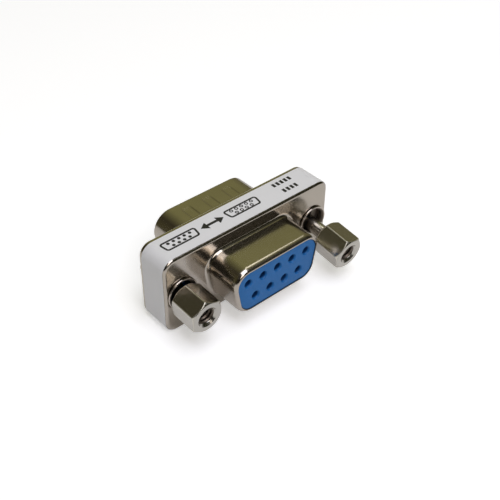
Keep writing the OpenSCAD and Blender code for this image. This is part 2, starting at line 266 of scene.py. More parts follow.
def outline(corners):
    """Corner arcs with evenly divided straight edges between them, counter-clockwise."""
    points = []
    for k, arc in enumerate(corners):
        nxt = corners[(k + 1) % 4]
        t = np.linspace(0, 1, EDGE_STEPS[k] + 1)[1:-1, None]
        points += [arc, arc[-1] * (1 - t) + nxt[0] * t]
    return np.concatenate(points)


def box_outline(w=0.0, half_w=None, half_h=None, r=CORNER_R):
    """The body's rounded oblong, moved inwards by w."""
    x = (half_w or BODY_W / 2) - r
    z = (half_h or BODY_H / 2) - r
    return outline([corner_arc(x, z, r - w, 0, 90), corner_arc(-x, z, r - w, 90, 180),
                    corner_arc(-x, -z, r - w, 180, 270), corner_arc(x, -z, r - w, 270, 360)])


def d_outline(shape, w=0.0):
    """A D outline, wide side up, moved inwards by w."""
    half_w, half_h, r = shape
    top = half_h - r
    slope = math.degrees(D_SLOPE)

    def middle(z):
        return half_w - (half_h - z) * math.tan(D_SLOPE) - r / math.cos(D_SLOPE)

    x1, x2 = middle(top), middle(-top)
    return outline([corner_arc(x1, top, r - w, -slope, 90), corner_arc(-x1, top, r - w, 90, 180 + slope),
                    corner_arc(-x2, -top, r - w, 180 + slope, 270),
                    corner_arc(x2, -top, r - w, 270, 360 - slope)])


def bend(w, o, r, a0, a1, steps=8):
    """Stations (w, o) along a bend in the sheet."""
    a = np.radians(np.linspace(a0, a1, steps + 1))
    return [(w + r * math.cos(t), o + r * math.sin(t)) for t in a]


def ring(points, side, o):
    """An outline at the distance o outwards from a plate's face, in millimetres."""
    y = np.full(len(points), side * (PLATE_Y + o))
    return np.stack([points[:, 0], y, points[:, 1] + Z_MID], 1)


# %% [markdown]
# ## Mesh helpers
#
# Every piece below is a mesh made from lists of points. The helpers merge doubled points,
# turn all faces outwards and mark the sharp edges, so that bevels shade crisply and curves
# smoothly. Booleans cut the holes and are applied at once, because a plain mesh is what the
# frame's calls and the export work on.

# %% Mesh helpers
SHARP = math.radians(32)


def tidy_mesh(mesh, sharp=SHARP):
    """Merges doubles, turns normals outwards, shades smooth but for the sharp edges."""
    bm = bmesh.new()
    bm.from_mesh(mesh)
    bmesh.ops.remove_doubles(bm, verts=bm.verts, dist=1e-8)
    bmesh.ops.dissolve_degenerate(bm, edges=bm.edges, dist=1e-9)
    bmesh.ops.recalc_face_normals(bm, faces=bm.faces)
    for face in bm.faces:
        face.smooth = True
    for edge in bm.edges:
        edge.smooth = len(edge.link_faces) == 2 and edge.calc_face_angle(0) < sharp
    bm.to_mesh(mesh)
    bm.free()


def make_object(name, verts_mm, faces, sharp=SHARP, marks=None):
    """A mesh object. marks gives the value of each point by the name of its attribute."""
    mesh = bpy.data.meshes.new(name)
    mesh.from_pydata([tuple(v) for v in np.asarray(verts_mm, float) * MM], [], faces)
    for mark, values in (marks or {}).items():
        mesh.attributes.new(mark, "FLOAT", "POINT").data.foreach_set("value", np.asarray(values, np.float32))
    tidy_mesh(mesh, sharp)
    obj = bpy.data.objects.new(name, mesh)
    bpy.context.scene.collection.objects.link(obj)
    return obj


def loft(name, rings, loop=False, caps=False, marks=None):
    """Quads through rings of equal length. loop joins the last ring to the first."""
    n = len(rings[0])
    faces = []
    for j in range(len(rings) if loop else len(rings) - 1):
        k = (j + 1) % len(rings)
        faces += [(j * n + i, j * n + (i + 1) % n, k * n + (i + 1) % n, k * n + i) for i in range(n)]
    if caps:
        faces += [tuple(range(n)), tuple(range((len(rings) - 1) * n, len(rings) * n))]
    return make_object(name, np.concatenate(rings), faces, marks=marks)


def lathe(name, profile, steps=72, loop=False, bore=None):
    """A round piece about the Y axis: profile is a list of (radius, y). A profile that
    isn't a loop is closed by a flat cap at each end. bore marks the profile's dull points,
    which the material also paints darker as shade."""
    a = np.linspace(0, 2 * math.pi, steps, endpoint=False)
    rings = [np.stack([r * np.cos(a), np.full(steps, y), r * np.sin(a)], 1) for r, y in profile]
    marks = None if bore is None else {"bore": np.repeat(bore, steps)}
    return loft(name, rings, loop=loop, caps=not loop, marks=marks)


def apply_modifiers(obj, sharp=SHARP):
    """Replaces the object's mesh by what its modifiers make of it."""
    depsgraph = bpy.context.evaluated_depsgraph_get()
    mesh = bpy.data.meshes.new_from_object(obj.evaluated_get(depsgraph))
    obj.modifiers.clear()
    obj.data = mesh
    tidy_mesh(mesh, sharp)


def combine(obj, other, operation, sharp=SHARP):
    """Adds the other object to this one, or cuts it out, and deletes it."""
    modifier = obj.modifiers.new("combine", "BOOLEAN")
    modifier.operation = operation
    modifier.solver = "EXACT"
    modifier.object = other
    bpy.context.view_layer.update()
    apply_modifiers(obj, sharp)
    bpy.data.objects.remove(other)


def place(obj, matrix):
    """Moves the mesh, and leaves the object at the origin."""
    obj.data.transform(matrix)
    return obj


def shift(x, y, z):
    return Matrix.Translation(Vector((x, y, z)) * MM)


def finish(obj, material, body, slot, *nodes):
    """Gives a piece its material, its body and the CAD nodes that it stands for."""
    obj.data.materials.clear()
    obj.data.materials.append(material)
    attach(obj, body)
    if nodes:
        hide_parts(*nodes)
    print(f"{obj.name}: {len(obj.data.polygons)} faces, {len(obj.data.vertices)} points")


# %% [markdown]
# ## The two shells
#
# The socket's shroud ends in a lip that is rolled inwards over the moulding, and the
# plug's shell in a plain cut edge. The lip's outer side is a quarter of an ellipse, longer
# than it is deep, which spreads its highlight along the shroud as on the real one.
#
# The plug's shell also has three pressed dimples in each long side, which touch the mating
# shroud. They are pressed here too: each point of the wall moves inwards, by a short step
# at three sides of the dimple and a long fade towards the plug's mouth, so outside and
# inside show them. Modelling them as cut pockets would break the sheet.

# %% Build a drawn shell
DIMPLE_PITCH = 3.8
DIMPLE_HALF_W = 0.75
DIMPLE_L = 2.4
DIMPLE_START = 1.85
DIMPLE_D = 0.08
DIMPLE_EDGE = 0.3
DIMPLE_STEP = 0.04
DIMPLE_FADE = 1.2


def smooth_step(distance, width):
    t = np.clip(distance / width, 0, 1)
    return t * t * (3 - 2 * t)


def press_dimples(points):
    """Moves the points of the two long sides of the plug shell inwards at its dimples."""
    x, y, z = points[:, 0], points[:, 1] - PLATE_Y, points[:, 2] - Z_MID
    along = smooth_step(y - DIMPLE_START + DIMPLE_STEP / 2, DIMPLE_STEP)
    along = along * smooth_step(DIMPLE_START + DIMPLE_L - y + DIMPLE_FADE / 2, DIMPLE_FADE)
    across = np.zeros_like(x)
    for k in (-1, 0, 1):
        from_edge = DIMPLE_HALF_W + DIMPLE_EDGE / 2 - np.abs(x - k * DIMPLE_PITCH)
        across = np.maximum(across, smooth_step(from_edge, DIMPLE_EDGE))
    depth = DIMPLE_D * along * across * (np.abs(z) > PLUG[1] - SHEET * 1.5)
    points[:, 2] -= np.sign(z) * depth
    return points


SUPPORT = 0.04


def drawn_shell(name, side, shape, wall, rim, inner_wall):
    """One sheet: skirt, bend, plate, fillet and D wall, outside and then inside. A support
    ring beside each bend keeps the bend's shading off the flat plate."""
    skirt = [(0, -PLATE_Y), (0, -PLATE_Y / 2), (0, -BEND_R - SUPPORT)]
    skirt += bend(BEND_R, -BEND_R, BEND_R, 180, 90) + [(BEND_R + SUPPORT, 0)]
    root = [(-DRAW_R - SUPPORT, 0)] + bend(-DRAW_R, DRAW_R, DRAW_R, 270, 360)
    root_in = bend(-DRAW_R, DRAW_R, DRAW_R + SHEET, 360, 270) + [(-DRAW_R - SUPPORT, -SHEET)]
    skirt_in = [(BEND_R + SUPPORT, -SHEET)] + bend(BEND_R, -BEND_R, BEND_R - SHEET, 90, 180, 3)
    skirt_in += [(SHEET, -PLATE_Y / 2), (SHEET, -PLATE_Y)]
    rings = [ring(box_outline(w), side, o) for w, o in skirt]
    rings += [ring(d_outline(shape, w), side, o) for w, o in root + wall + rim + inner_wall + root_in]
    rings += [ring(box_outline(w), side, o) for w, o in skirt_in]
    if side > 0:
        rings = [press_dimples(r) for r in rings]
    return loft(name, rings, loop=True)


def cut_screw_holes(shell, side, radius):
    """Punches a plate's two holes, in which the eyelets are rolled."""
    for x in (-SCREW_X, SCREW_X):
        cutter = lathe("cutter", [(radius, side * PLATE_Y - 1), (radius, side * PLATE_Y + 1)])
        place(cutter, shift(x, 0, Z_MID))
        combine(shell, cutter, "DIFFERENCE")


# %% The front shell with its rolled lip
LIP_R = 0.56
LIP_L = 0.9
FRONT_MOUTH_R = 1.9
REAR_MOUTH_R = 1.75
EYELET_WALL = 0.15
MARGIN = 0.05

front_wall = [(0, o) for o in np.linspace(DRAW_R + MARGIN, SOCKET_L - LIP_L - MARGIN, 10)]
front_inner = [(SHEET, o) for o in np.linspace(SOCKET_L - LIP_R - MARGIN, DRAW_R + MARGIN, 10)]
lip = [(LIP_R + LIP_R * math.cos(a), SOCKET_L - LIP_L + LIP_L * math.sin(a))
       for a in np.radians(np.linspace(180, 90, 15))]
lip += bend(LIP_R, SOCKET_L - LIP_R, LIP_R - SHEET, 90, 180, 4)
front_shell = drawn_shell("front_shell_sheet", -1, SOCKET, front_wall, lip, front_inner)
cut_screw_holes(front_shell, -1, FRONT_MOUTH_R + EYELET_WALL)
finish(front_shell, DRAWN_NICKEL, "housing", "shell_nickel", "front_shell")

# %% The rear shell with its dimples
edge = SHEET / 4
rear_wall = [(0, o) for o in np.linspace(DRAW_R + MARGIN, PLUG_L - edge - MARGIN, 56)]
rear_inner = [(SHEET, o) for o in np.linspace(PLUG_L - edge - MARGIN, DRAW_R + MARGIN, 56)]
rim = bend(edge, PLUG_L - edge, edge, 180, 90, 4) + bend(SHEET - edge, PLUG_L - edge, edge, 90, 0, 4)
rear_shell = drawn_shell("rear_shell_sheet", 1, PLUG, rear_wall, rim, rear_inner)
cut_screw_holes(rear_shell, 1, REAR_MOUTH_R + EYELET_WALL)
finish(rear_shell, DRAWN_NICKEL, "housing", "shell_nickel", "rear_shell")

# %% [markdown]
# ## One pattern for nine contacts
#
# The contacts, their holes and the printed pin marks all repeat in two rows of five and
# four. A Geometry Nodes tree makes that pattern once: two mesh lines give the points, and
# what is fed in is set on each of them. Its inputs are the pitch and the row gap, so the
# same tree serves the real spacing and the small printed one.

# %% The nine-point tree
def nine_point_tree(name, along, up):
    """along and up are the unit vectors of the rows and of the step between them."""
    tree = bpy.data.node_groups.new(name, "GeometryNodeTree")
    tree.is_modifier = True
    tree.interface.new_socket("Geometry", in_out="INPUT", socket_type="NodeSocketGeometry")
    for socket, value in (("Pitch", 0.0027), ("Row Gap", 0.0028)):
        tree.interface.new_socket(socket, in_out="INPUT", socket_type="NodeSocketFloat").default_value = value
    tree.interface.new_socket("Material", in_out="INPUT", socket_type="NodeSocketMaterial")
    tree.interface.new_socket("Geometry", in_out="OUTPUT", socket_type="NodeSocketGeometry")
    group = add(tree, "NodeGroupInput")
    rows = []
    for count, sign in ((5, 0.5), (4, -0.5)):
        step = add(tree, "ShaderNodeVectorMath", {0: along, "Scale": group.outputs["Pitch"]},
                   operation="SCALE")
        back = add(tree, "ShaderNodeVectorMath", {0: step.outputs["Vector"], "Scale": -(count - 1) / 2},
                   operation="SCALE")
        height = add(tree, "ShaderNodeMath", {0: group.outputs["Row Gap"], 1: sign}, operation="MULTIPLY")
        lift = add(tree, "ShaderNodeVectorMath", {0: up, "Scale": height.outputs[0]}, operation="SCALE")
        start = add(tree, "ShaderNodeVectorMath", {0: back.outputs["Vector"], 1: lift.outputs["Vector"]},
                    operation="ADD")
        line = add(tree, "GeometryNodeMeshLine",
                   {"Count": count, "Start Location": start.outputs["Vector"],
                    "Offset": step.outputs["Vector"]})
        rows.append(line.outputs["Mesh"])
    both = add(tree, "GeometryNodeJoinGeometry")
    for row in rows:
        tree.links.new(row, both.inputs["Geometry"])
    copies = add(tree, "GeometryNodeInstanceOnPoints",
                 {"Points": both.outputs["Geometry"], "Instance": group.outputs["Geometry"]})
    real = add(tree, "GeometryNodeRealizeInstances", {"Geometry": copies.outputs["Instances"]})
    dressed = add(tree, "GeometryNodeSetMaterial",
                  {"Geometry": real.outputs["Geometry"], "Material": group.outputs["Material"]})
    add(tree, "NodeGroupOutput", {"Geometry": dressed.outputs["Geometry"]})
    return tree


def nine_copies(obj, tree, pitch, row_gap, material=None):
    """Sets nine copies of the object's mesh on the pattern, as one plain mesh."""
    modifier = obj.modifiers.new("nine", "NODES")
    modifier.node_group = tree
    values = {"Pitch": pitch * MM, "Row Gap": row_gap * MM, "Material": material}
    for item in tree.interface.items_tree:
        if item.in_out == "INPUT" and item.name in values:
            modifier[item.identifier] = values[item.name]
    apply_modifiers(obj)
    return obj


FACE_ROWS = nine_point_tree("nine_on_the_face", (1, 0, 0), (0, 0, 1))
PRINT_ROWS = nine_point_tree("nine_on_the_label", (1, 0, 0), (0, 1, 0))

# %% [markdown]
# ## Contacts
#
# Each contact is turned from one bar: a split socket barrel in front, a collar that the
# two mouldings clamp, and a plug pin with a rounded tip behind. It is a lathe profile with
# a slit cut through the barrel, and the tree sets it nine times.

# %% Turn one contact and set it nine times
PIN_R = 0.5
BARREL_R = 0.7
COLLAR_R = 0.9
COLLAR_L = 1.6
CONTACT_GAP = 0.04
BARREL_DEPTH = 5.2
SLIT_W = 0.16
DRILL_CONE = 0.2
AXIS_R = 0.02
contact_lo, contact_hi = (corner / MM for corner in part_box("contact_1"))
bore_r = PIN_R + CONTACT_GAP
tip = [(PIN_R * math.cos(a), contact_hi.y - PIN_R + PIN_R * math.sin(a))
       for a in np.radians(np.linspace(0, 84, 9))]
ease = 0.08
profile = [(AXIS_R, contact_lo.y + BARREL_DEPTH + DRILL_CONE), (bore_r, contact_lo.y + BARREL_DEPTH),
           (bore_r, contact_lo.y + ease), (bore_r + ease, contact_lo.y), (BARREL_R - ease, contact_lo.y),
           (BARREL_R, contact_lo.y + ease), (BARREL_R, -COLLAR_L / 2), (COLLAR_R, -COLLAR_L / 2),
           (COLLAR_R, COLLAR_L / 2), (PIN_R, COLLAR_L / 2)] + tip
contacts = lathe("contacts", profile, steps=40)
half_slit = SLIT_W / 2
slit = [np.array([(x, y, z) for x, z in ((-half_slit, -1), (half_slit, -1), (half_slit, 1), (-half_slit, 1))])
        for y in (contact_lo.y - 1, contact_lo.y + BARREL_DEPTH * 0.7)]
combine(contacts, loft("slit", slit, caps=True), "DIFFERENCE")
nine_copies(contacts, FACE_ROWS, PITCH, ROW_GAP, GOLD_FLASH)
place(contacts, shift(0, 0, Z_MID))
finish(contacts, GOLD_FLASH, "housing", "contact_gilt", *[f"contact_{k}" for k in range(1, 10)])

# %% [markdown]
# ## Mouldings
#
# The blue moulding fills the shroud, and its face stands in the rolled lip with nine
# mouths, each a funnel that guides a pin into its socket. A solid block is lofted from the
# D outline, and one turned cutter, set nine times, makes all the holes. The face is a
# little smaller than the lip's opening, which leaves the thin dark line round it. The
# plug's moulding is a floor that the pins stand in.

# %% Block with a D outline and a flange
SHELL_GAP = 0.05
MOUTH_R = 0.64
MOUTH_BEVEL = 0.12
GUIDE_R = 0.6
GUIDE_L = 0.24
FACE_EASE = 0.06
SHADOW_GAP = 0.04
CUT_PAST = 0.3
flange_lo, flange_hi = (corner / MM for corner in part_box("front_insulator"))
FLANGE_HALF_W = flange_hi.x
FLANGE_HALF_H = (flange_hi.z - flange_lo.z) / 2
face_y = flange_lo.y


def d_block(name, side, shape, stations):
    """A solid block with a D outline at stations (w, distance from the plate's face)."""
    return loft(name, [ring(d_outline(shape, w), side, o) for w, o in stations], caps=True)


def flange_slab(y0, y1):
    """The oblong flange that both mouldings have inside the body."""
    points = box_outline(0, FLANGE_HALF_W, FLANGE_HALF_H, 0.3)
    rings = [np.stack([points[:, 0], np.full(len(points), y), points[:, 1] + Z_MID], 1) for y in (y0, y1)]
    return loft("flange", rings, caps=True)


# %% The socket's moulding
face_o = -face_y - PLATE_Y
body_w = SHEET + SHELL_GAP
pad_w = LIP_R + SHELL_GAP + SHADOW_GAP
stations = [(body_w, -PLATE_Y), (body_w, SOCKET_L - LIP_R), (pad_w, SOCKET_L - LIP_R)]
stations += bend(pad_w + FACE_EASE, face_o - FACE_EASE, FACE_EASE, 180, 90, 4)
socket_moulding = d_block("socket_moulding", -1, SOCKET, stations)
combine(socket_moulding, flange_slab(-PLATE_Y + SHEET + DRAW_R, 0), "UNION")
chamber_r = BARREL_R + CONTACT_GAP
mouth = [(MOUTH_R + MOUTH_BEVEL + CUT_PAST, face_y - CUT_PAST), (MOUTH_R + MOUTH_BEVEL, face_y),
         (GUIDE_R, face_y + GUIDE_L), (GUIDE_R, contact_lo.y - CONTACT_GAP),
         (chamber_r, contact_lo.y - CONTACT_GAP), (chamber_r, -COLLAR_L / 2),
         (COLLAR_R + CONTACT_GAP, -COLLAR_L / 2), (COLLAR_R + CONTACT_GAP, 0.5)]
holes = nine_copies(lathe("holes", mouth, steps=48), FACE_ROWS, PITCH, ROW_GAP)
combine(socket_moulding, place(holes, shift(0, 0, Z_MID)), "DIFFERENCE")
finish(socket_moulding, BLUE_FACE_PAINTED_SHADE, "housing", "insulator_blue", "front_insulator")

# %% The plug's moulding
floor_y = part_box("rear_insulator")[1].y / MM
stations = [(body_w, -PLATE_Y)]
stations += bend(body_w + FACE_EASE, floor_y - PLATE_Y - FACE_EASE, FACE_EASE, 180, 90, 4)
plug_moulding = d_block("plug_moulding", 1, PLUG, stations)
combine(plug_moulding, flange_slab(0, PLATE_Y - SHEET - DRAW_R), "UNION")
seat = [(COLLAR_R + CONTACT_GAP, -0.5), (COLLAR_R + CONTACT_GAP, COLLAR_L / 2),
        (PIN_R + CONTACT_GAP, COLLAR_L / 2), (PIN_R + CONTACT_GAP, floor_y + 1)]
holes = nine_copies(lathe("holes", seat, steps=40), FACE_ROWS, PITCH, ROW_GAP)
combine(plug_moulding, place(holes, shift(0, 0, Z_MID)), "DIFFERENCE")
finish(plug_moulding, BLUE_MOULDING, "housing", "insulator_blue", "rear_insulator")

# %% [markdown]
# ## Eyelets and clips
#
# An eyelet is rolled over on both sides of its plate. Its rim is a thin ring that catches
# a bright line of light round each screw, and from the ring a bell narrows to the mouth.
# It is one turned profile, a closed loop, which a bevelled tube couldn't follow. The clips
# sit out of sight in the body, so their CAD solids only need the look of spring steel.

# %% Roll the eyelets
RIM_R = 2.5
RIM_H = 0.34
TAIL_T = 0.2
RING_R = 0.14
BELL_DEPTH = 0.25


def eyelet(name, side, side_x, mouth_r, node):
    """One eyelet: tail, barrel, rim ring and bell, with the bell marked as dull and painted in shade."""
    barrel_r = mouth_r + EYELET_WALL
    tail_r = RIM_R - EYELET_WALL
    section = [(mouth_r, -SHEET - TAIL_T), (tail_r, -SHEET - TAIL_T), (tail_r, -SHEET),
               (barrel_r, -SHEET), (barrel_r, 0)]
    section += [(RIM_R - RING_R + RING_R * math.cos(a), RIM_H - RING_R + RING_R * math.sin(a))
                for a in np.radians(np.linspace(-30, 130, 17))]
    throat = section[-1]
    bell_w, bell_h = throat[0] - mouth_r, throat[1] + BELL_DEPTH
    section += [(throat[0] - bell_w * math.sin(a), throat[1] - bell_h * (1 - math.cos(a)))
                for a in np.radians(np.linspace(10, 90, 13))]
    # The bell is rougher and painted darker as shade
    bore = [1.0 if r < throat[0] - MARGIN else 0.0 for r, o in section]
    section = [(r, side * (PLATE_Y + o)) for r, o in section]
    obj = place(lathe(name, section, steps=96, loop=True, bore=bore), shift(side_x, 0, Z_MID))
    finish(obj, ROLLED_NICKEL, "housing", "eyelet_nickel", node)


eyelet("rolled_eyelet_front_left", -1, -SCREW_X, FRONT_MOUTH_R, "front_left_eyelet")
eyelet("rolled_eyelet_front_right", -1, SCREW_X, FRONT_MOUTH_R, "front_right_eyelet")
eyelet("rolled_eyelet_rear_left", 1, -SCREW_X, REAR_MOUTH_R, "rear_left_eyelet")
eyelet("rolled_eyelet_rear_right", 1, SCREW_X, REAR_MOUTH_R, "rear_right_eyelet")

for clip in ("left_clip", "right_clip"):
    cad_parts[clip].data.materials.clear()
    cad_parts[clip].data.materials.append(SPRING_STEEL)

# %% [markdown]
# ## Jackscrews
#
# A real jackscrew is turned from hexagonal bar: bevelled head, tapped hole, shank, groove
# and rolled thread. The threads and the bevels are what a close look goes to. The screw is
# one loft from the bottom of its tapped hole to its far end. Its rings needn't be round or
# flat: on the head they follow the hexagon and the curved bevel, with eased edges that
# catch a fine line of light, and along a thread the radius follows the helix. A thread
# made of separate turns or by a screw modifier would need joining to the shank.

# %% Directions round a screw, and the radius of its head in each
THREAD_PITCH = 0.635
THREAD_R = 1.422
THREAD_ROOT_R = 1.12
THREAD_L = 3.4
RINGS_A_TURN = 16
SCREW_L = 13.9
SHANK_R = 1.1
TAP_CREST_R = 1.15
TAP_DEPTH = 4.4
TAP_MOUTH_R = 1.65
TAP_ROOT_R = 1.3
TAP_CONE = 0.25
HEX_AF = 4.83
HEX_L = 4.9
HEX_BEVEL = 0.36
# The flat end's radius, as a share of half the width across flats
END_SHARE = 0.97
HEX_EASE = 0.15
GROOVE_S = 9.0
GROOVE_R = 0.87
GROOVE_W = 0.46
MOUTH_EASE = 0.04
EDGE_EASE = 0.08
BORE_START = 0.42

# Degrees from a corner of the hexagon: close together on the eased corner, then wider
near_corner = [0, 0.35, 0.7, 1.04, 1.6, 3.5, 7, 11, 15.5, 20, 25]
one_sixth = sorted([-a for a in near_corner[1:]] + near_corner + [30])
AROUND = np.radians(np.concatenate([[60 * k + 30 + a for a in one_sixth] for k in range(6)]))

off_corner = np.abs(AROUND % (math.pi / 3) - math.pi / 6)
ease_middle = (HEX_AF / 2 - HEX_EASE) / math.cos(math.pi / 6)
ease_end = math.atan2(HEX_EASE / 2, ease_middle + HEX_EASE * math.cos(math.pi / 6))
on_ease = np.sqrt(np.maximum(HEX_EASE ** 2 - (ease_middle * np.sin(off_corner)) ** 2, 0))
HEX_R = np.where(off_corner < ease_end, ease_middle * np.cos(off_corner) + on_ease,
                 HEX_AF / 2 / np.cos(math.pi / 6 - off_corner))
print(f"{len(AROUND)} directions, head radius {HEX_R.min():.3f} to {HEX_R.max():.3f}")


# %% Rings of a screw
def at(r, y):
    """One ring as (radius, length) in each direction. r and y are numbers or arrays."""
    return np.stack([r + 0 * AROUND, y + 0 * AROUND], 1)


def eased(before, ring, after, ease=0.05):
    """Five rings in place of a sharp one: a rounded edge and a support on each side."""
    def step(to):
        d = to - ring
        length = np.linalg.norm(d, axis=1, keepdims=True)
        return d / length * np.minimum(ease, 0.28 * length)

    a, b = step(before), step(after)
    return [ring + 1.6 * a, ring + a, ring + (a + b) / 4, ring + b, ring + 1.6 * b]


def thread_rings(y0, y1, root_r, crest_r):
    """Rings along a right-handed V thread, as lengths and radii."""
    count = int(abs(y1 - y0) / THREAD_PITCH * RINGS_A_TURN)
    out = []
    for y in np.linspace(y0, y1, count + 1):
        turn = (y / THREAD_PITCH + AROUND / (2 * math.pi)) % 1
        # A V with a flat crest, a flat root and sloping sides of a third of the pitch each
        height = np.clip(1.3 - np.abs(turn - 0.5) * 3.0, 0, 1)
        out.append((y, root_r + (crest_r - root_r) * height))
    return out


def jackscrew(name):
    """The whole screw as one loft, from the bottom of its tapped hole to its far end."""
    flat_r = HEX_AF / 2 * END_SHARE
    corner_r = HEX_AF / 2 / math.cos(math.pi / 6)
    bevel_y = HEX_BEVEL * (HEX_R - flat_r) / (corner_r - flat_r)
    on_corner = (off_corner < ease_end * 1.1).astype(float)
    rings = [at(AXIS_R, TAP_DEPTH + TAP_CONE), at(TAP_CREST_R, TAP_DEPTH)]
    for y, r in thread_rings(TAP_DEPTH - 0.03, 0.03, TAP_CREST_R, TAP_ROOT_R):
        rings.append(at(np.maximum(r, TAP_MOUTH_R - y), y))
    mouth_ring = len(rings)
    mouth, face, edge = at(TAP_MOUTH_R, 0), at(flat_r, 0), at(HEX_R, bevel_y)
    back_edge, back_face, neck = at(HEX_R, HEX_L - bevel_y), at(flat_r, HEX_L), at(SHANK_R, HEX_L)
    rings += eased(rings[-1], mouth, face, MOUTH_EASE) + eased(mouth, face, edge)
    bevel = len(rings)
    rings += eased(face, edge, back_edge, EDGE_EASE) + eased(edge, back_edge, back_face, EDGE_EASE)
    rings += eased(back_edge, back_face, neck)
    thread_s = SCREW_L - THREAD_L
    shank = [(SHANK_R, HEX_L), (SHANK_R, GROOVE_S), (GROOVE_R, GROOVE_S), (GROOVE_R, GROOVE_S + GROOVE_W),
             (SHANK_R, GROOVE_S + GROOVE_W), (SHANK_R, thread_s - 0.05)]
    rings += [at(r, y) for r, y in shank]
    end_bevel = THREAD_R - THREAD_ROOT_R
    for y, r in thread_rings(thread_s, SCREW_L - 0.02, THREAD_ROOT_R, THREAD_R):
        limit = THREAD_ROOT_R + end_bevel * min(1, (y - thread_s) / end_bevel, (SCREW_L - y) / end_bevel)
        rings.append(at(np.minimum(r, limit), y))
    rings.append(at(THREAD_ROOT_R - 0.03, SCREW_L))
    # Burnished, and painted lighter as a highlight: the corners between the two bevels, and the middle rings
    # of either bevel's edge
    edges = np.zeros((len(rings), len(AROUND)))
    edges[bevel:bevel + 10] = on_corner
    for k in (1, 2, 3, 6, 7, 8):
        edges[bevel + k] = 1
    # The tapped hole's inside is rougher and painted darker as shade
    bore = np.array([(k[:, 1] > BORE_START) & (j < mouth_ring) for j, k in enumerate(rings)])
    rings = [np.stack([k[:, 0] * np.cos(AROUND), k[:, 1], k[:, 0] * np.sin(AROUND)], 1) for k in rings]
    screw = loft(name, rings, caps=True, marks={"edge": edges.ravel(), "bore": bore.ravel()})
    tidy_mesh(screw.data, math.radians(65))
    return screw


# %% Set each screw on its drooped axis
def screw_place(side, tilt, reach, drop, turn):
    """From the screw's own axis to where it rests. reach is from the rear plate to the
    head's face, drop is how far the axis sags there, and turn is the head's, in degrees."""
    pivot = shift(side * SCREW_X, PLATE_Y, Z_MID - drop)
    return (pivot @ Matrix.Rotation(math.radians(tilt), 4, "X") @ shift(0, -reach, 0)
            @ Matrix.Rotation(math.radians(-turn), 4, "Y"))


left = place(jackscrew("left_threaded_jackscrew"), screw_place(-1, 2.7, 11.34, 0.18, 4.5))
finish(left, TURNED_NICKEL, "left_screw", "screw_nickel", "left_jackscrew")
right = place(jackscrew("right_threaded_jackscrew"), screw_place(1, 7.3, 13.87, -0.05, 14.5))
finish(right, TURNED_NICKEL, "right_screw", "screw_nickel", "right_jackscrew")

# %% [markdown]
# ## Label and its print
#
# The label is one band of white film round the body. Its printed words are left out, and
# plain signs of like size and weight take their place: a plug's pins and a socket's holes,
# each in a D outline, with a double arrow between them, and a small pin pattern at the
# right. The ink is a thin layer of its own on the film, so that it stays sharp at any
# distance and needs no image.

# %% Wrap the label
INK_T = 0.012
film = LABEL_T - INK_T
film_ease = 0.02
film_y0 = label_lo.y
film_y1 = label_hi.y
label_rings = [(0, film_y0), (-film + film_ease, film_y0), (-film, film_y0 + film_ease), (-film, 0),
               (-film, film_y1 - film_ease), (-film + film_ease, film_y1), (0, film_y1)]
rings = []
for w, y in label_rings:
    points = box_outline(w)
    rings.append(np.stack([points[:, 0], np.full(len(points), y), points[:, 1] + Z_MID], 1))
label = loft("label_band", rings, loop=True)
finish(label, WHITE_FILM, "housing", "label_white", "label")

# %% Print on its upper side
INK_Z = label_hi.z - INK_T
SIGN_H = 1.95
SIGN_HALF_W = 3.15
SIGN_R = 0.5
STROKE = 0.3
DOT_PITCH = 0.93
DOT_ROW_GAP = 0.72


def flat_rings(name, loops):
    """A thin layer of ink between closed loops: one loop is filled, two leave a band."""
    rings = [np.column_stack([p, np.full(len(p), z)]) for z, p in
             [(INK_Z, loops[0]), (INK_Z + INK_T, loops[0])] + [(INK_Z + INK_T, p) for p in loops[1:]]
             + [(INK_Z, p) for p in loops[1:]]]
    return loft(name, rings, loop=len(loops) > 1, caps=len(loops) == 1)


def circle(r, steps=28):
    """A round outline of the print."""
    a = np.linspace(0, 2 * math.pi, steps, endpoint=False)
    return np.stack([r * np.cos(a), r * np.sin(a)], 1)


def printed_d(middle_x, dot_loops):
    """A printed D outline with nine marks in it."""
    sign = (SIGN_HALF_W, SIGN_H / 2, SIGN_R)
    outline_band = flat_rings("printed_outline", [d_outline(sign), d_outline(sign, STROKE)])
    marks = nine_copies(flat_rings("printed_marks", dot_loops), PRINT_ROWS, DOT_PITCH, DOT_ROW_GAP)
    return [place(o, shift(middle_x, 0, 0)) for o in (outline_band, marks)]


def printed_arrow(middle_x, half_l):
    """A double arrow: head is the length of its points, wing and half their half widths."""
    head = 1.15
    wing = SIGN_H * 0.4
    half = STROKE * 0.75
    right_side = [(half_l - head, -half), (half_l - head, -wing), (half_l, 0), (half_l - head, wing),
                  (half_l - head, half)]
    points = np.array(right_side + [(-x, -z) for x, z in right_side])
    return place(flat_rings("printed_arrow", [points]), shift(middle_x, 0, 0))


pieces = printed_d(-10.25, [circle(0.25)]) + printed_d(1.0, [circle(0.3), circle(0.14)])
pieces.append(printed_arrow(-4.62, 2.05))
PAD_HALF_W = 0.24
PAD_HALF_L = 0.42
PAD_PITCH = 0.76
PAD_ROW_GAP = 1.9
pad = np.array([(-PAD_HALF_W, -PAD_HALF_L), (PAD_HALF_W, -PAD_HALF_L), (PAD_HALF_W, PAD_HALF_L),
                (-PAD_HALF_W, PAD_HALF_L)])
pads = nine_copies(flat_rings("printed_pads", [pad]), PRINT_ROWS, PAD_PITCH, PAD_ROW_GAP)
pieces.append(place(pads, shift(9.45, 0.05, 0)))
for piece in pieces:
    finish(piece, BLACK_INK, "housing", "label_white")

